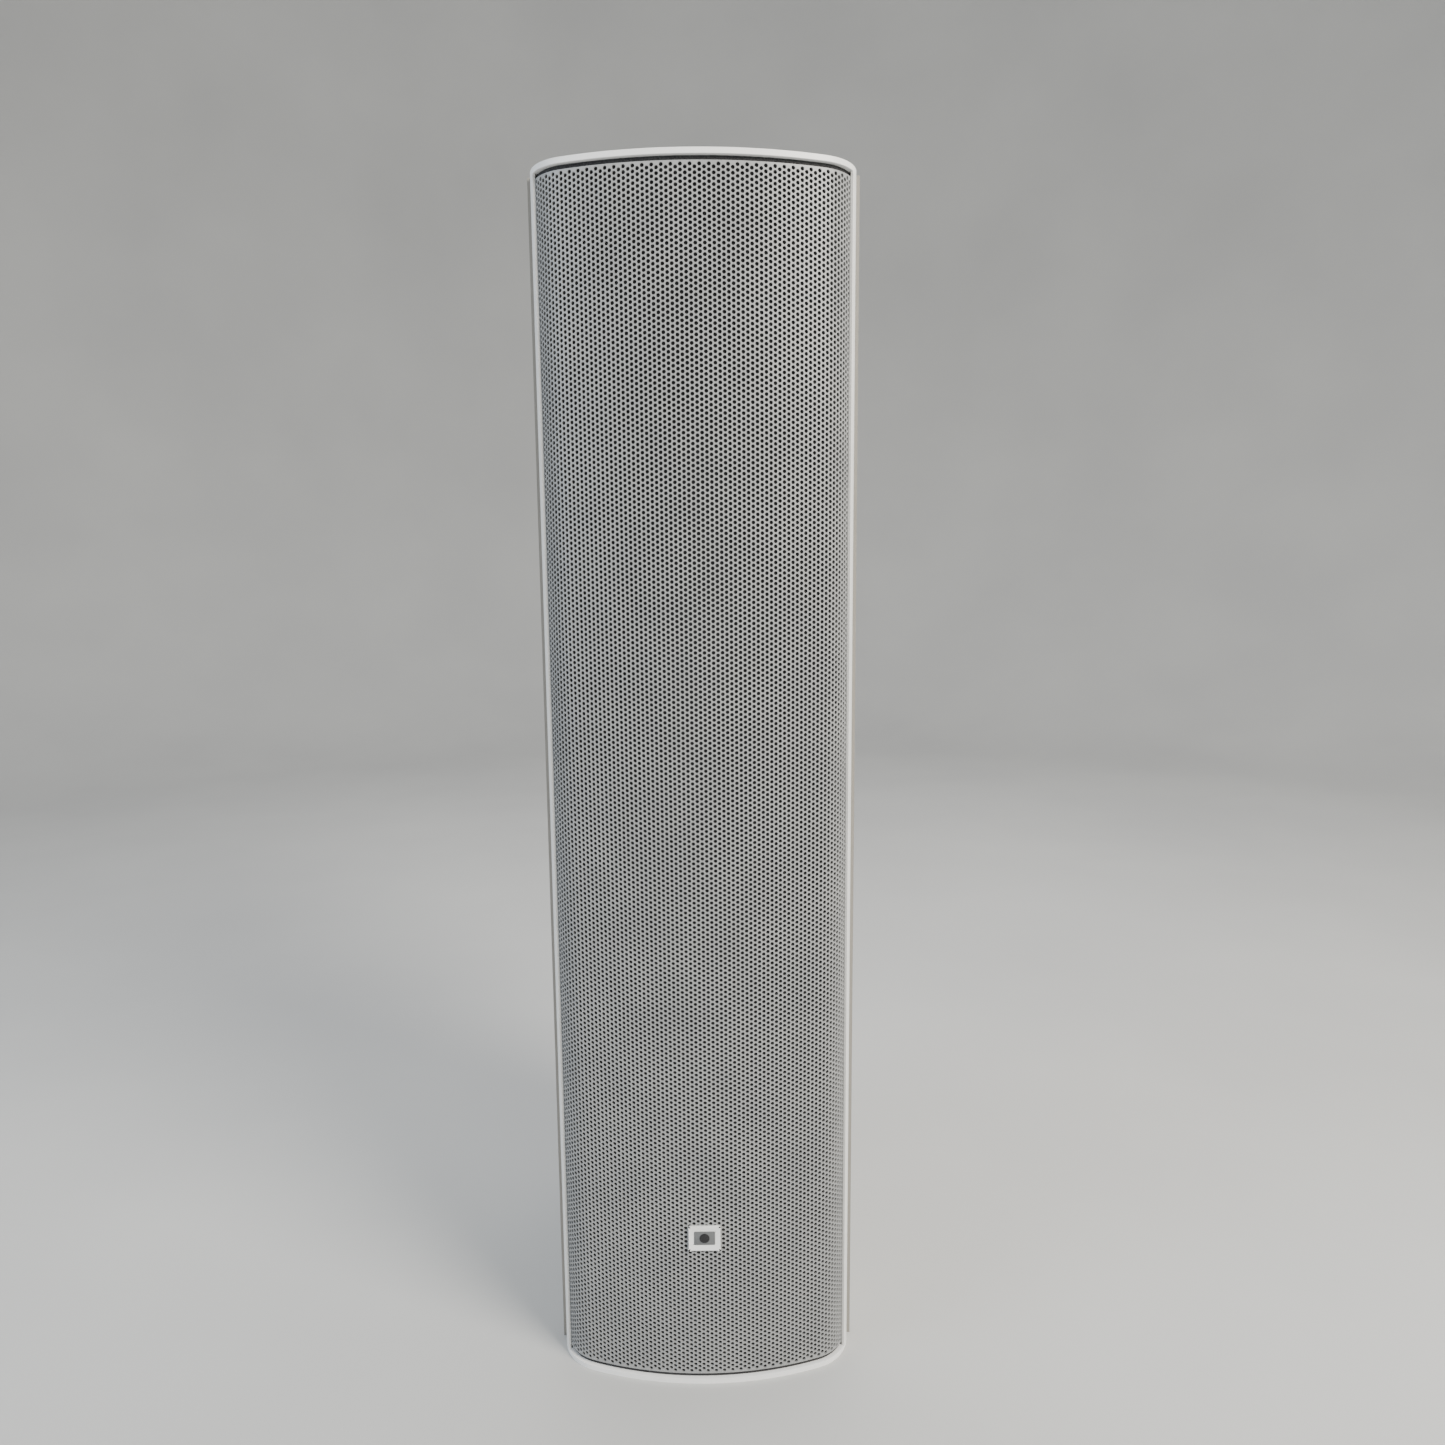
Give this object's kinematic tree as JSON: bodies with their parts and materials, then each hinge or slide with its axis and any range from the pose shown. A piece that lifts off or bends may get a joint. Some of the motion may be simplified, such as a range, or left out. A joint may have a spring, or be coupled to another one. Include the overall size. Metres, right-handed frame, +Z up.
{
  "type": "column loudspeaker",
  "caption": "Tall slim installed-sound column with a bowed perforated grille, moulded end caps, line of woofers and dome tweeters, and a recessed rear input panel.",
  "frame": {"origin": "middle of the footprint, on the surface the column stands on", "axes": "+Z up, grille faces -Y, +X to the right seen from the front"},
  "size_m": [0.179, 0.237, 0.684],
  "materials": {
    "white_paint": "fine textured satin paint over moulded plastic",
    "white_moulding": "satin, moulded",
    "grille_coat": "fine textured powder coat",
    "black_foam": "open-cell foam",
    "badge_grey": "semi-gloss",
    "black_rubber": "matt",
    "zinc_steel": "zinc plated",
    "black_steel": "satin black",
    "brass_insert": "turned",
    "brace_moulding": "moulded",
    "wadding": "fibrous",
    "ferrite": "sintered, matt",
    "paper_cone": "coated pulp",
    "surround_rubber": "soft, matt",
    "spider_cloth": "resin-stiffened cloth",
    "black_moulding": "moulded, fine grain",
    "silk_dome": "coated silk",
    "circuit_board": "lacquered laminate",
    "copper_winding": "enamelled copper wire",
    "film_capacitor": "wrapped film",
    "cement_resistor": "matt",
    "switch_moulding": "moulded",
    "switch_case": "plated",
    "wire_cover": "PVC-covered wires in a sleeve"
  },
  "bodies": {
    "cabinet": {"rear_shell": "white_paint", "front_baffle": "white_paint", "top_cap": "white_moulding", "bottom_cap": "white_moulding", "grille": "grille_coat", "grille_foam": "black_foam", "badge_plate": "white_moulding", "badge_inlay": "badge_grey", "baffle_gasket": "black_rubber", "baffle_screws": "black_steel", "cap_screws": "zinc_steel", "internal_braces": "brace_moulding", "acoustic_wadding": "wadding", "rear_inserts": "brass_insert", "end_inserts": "brass_insert", "woofer_gaskets": "black_rubber", "woofer_screws": "black_steel", "tweeter_strip": "black_moulding", "tweeter_bodies": "black_steel", "strip_screws": "black_steel", "crossover_board": "circuit_board", "crossover_coils": "copper_winding", "crossover_capacitors": "film_capacitor", "crossover_resistors": "cement_resistor", "crossover_standoffs": "brass_insert", "terminal_plate": "black_moulding", "terminal_gasket": "black_rubber", "terminal_plate_screws": "black_steel", "barrier_strip": "black_moulding", "terminal_screws": "zinc_steel", "switch_housings": "switch_case", "wiring_loom": "wire_cover", "woofer_basket_1": "black_steel", "woofer_magnet_1": "ferrite", "woofer_surround_1": "surround_rubber", "woofer_spider_1": "spider_cloth", "woofer_basket_2": "black_steel", "woofer_magnet_2": "ferrite", "woofer_surround_2": "surround_rubber", "woofer_spider_2": "spider_cloth", "woofer_basket_3": "black_steel", "woofer_magnet_3": "ferrite", "woofer_surround_3": "surround_rubber", "woofer_spider_3": "spider_cloth", "woofer_basket_4": "black_steel", "woofer_magnet_4": "ferrite", "woofer_surround_4": "surround_rubber", "woofer_spider_4": "spider_cloth"},
    "cone_1": {"woofer_cone_1": "paper_cone"},
    "cone_2": {"woofer_cone_2": "paper_cone"},
    "cone_3": {"woofer_cone_3": "paper_cone"},
    "cone_4": {"woofer_cone_4": "paper_cone"},
    "domes": {"tweeter_domes": "silk_dome"},
    "voicing_slider": {"voicing_switch": "switch_moulding"},
    "coverage_slider": {"coverage_switch": "switch_moulding"}
  },
  "joints": [
    {"name": "cone_1_travel", "type": "slide", "parent": "cabinet", "child": "cone_1", "axis": [0, -1, 0], "range_m": [-0.004, 0.004], "stiffness_N_per_m": 1500, "deforming": ["woofer_surround_1", "woofer_spider_1"]},
    {"name": "cone_2_travel", "type": "slide", "parent": "cabinet", "child": "cone_2", "axis": [0, -1, 0], "range_m": [-0.004, 0.004], "stiffness_N_per_m": 1500, "deforming": ["woofer_surround_2", "woofer_spider_2"]},
    {"name": "cone_3_travel", "type": "slide", "parent": "cabinet", "child": "cone_3", "axis": [0, -1, 0], "range_m": [-0.004, 0.004], "stiffness_N_per_m": 1500, "deforming": ["woofer_surround_3", "woofer_spider_3"]},
    {"name": "cone_4_travel", "type": "slide", "parent": "cabinet", "child": "cone_4", "axis": [0, -1, 0], "range_m": [-0.004, 0.004], "stiffness_N_per_m": 1500, "deforming": ["woofer_surround_4", "woofer_spider_4"]},
    {"name": "dome_travel", "type": "slide", "parent": "cabinet", "child": "domes", "axis": [0, -1, 0], "range_m": [-0.00025, 0.00025], "stiffness_N_per_m": 2000},
    {"name": "voicing_slide", "type": "slide", "parent": "cabinet", "child": "voicing_slider", "axis": [1, 0, 0], "range_m": [0, 0.004]},
    {"name": "coverage_slide", "type": "slide", "parent": "cabinet", "child": "coverage_slider", "axis": [1, 0, 0], "range_m": [0, 0.004]}
  ],
  "couplings": [
    {"joint": "cone_2_travel", "follows": "cone_1_travel", "ratio": 1},
    {"joint": "cone_3_travel", "follows": "cone_1_travel", "ratio": 1},
    {"joint": "cone_4_travel", "follows": "cone_1_travel", "ratio": 1}
  ]
}
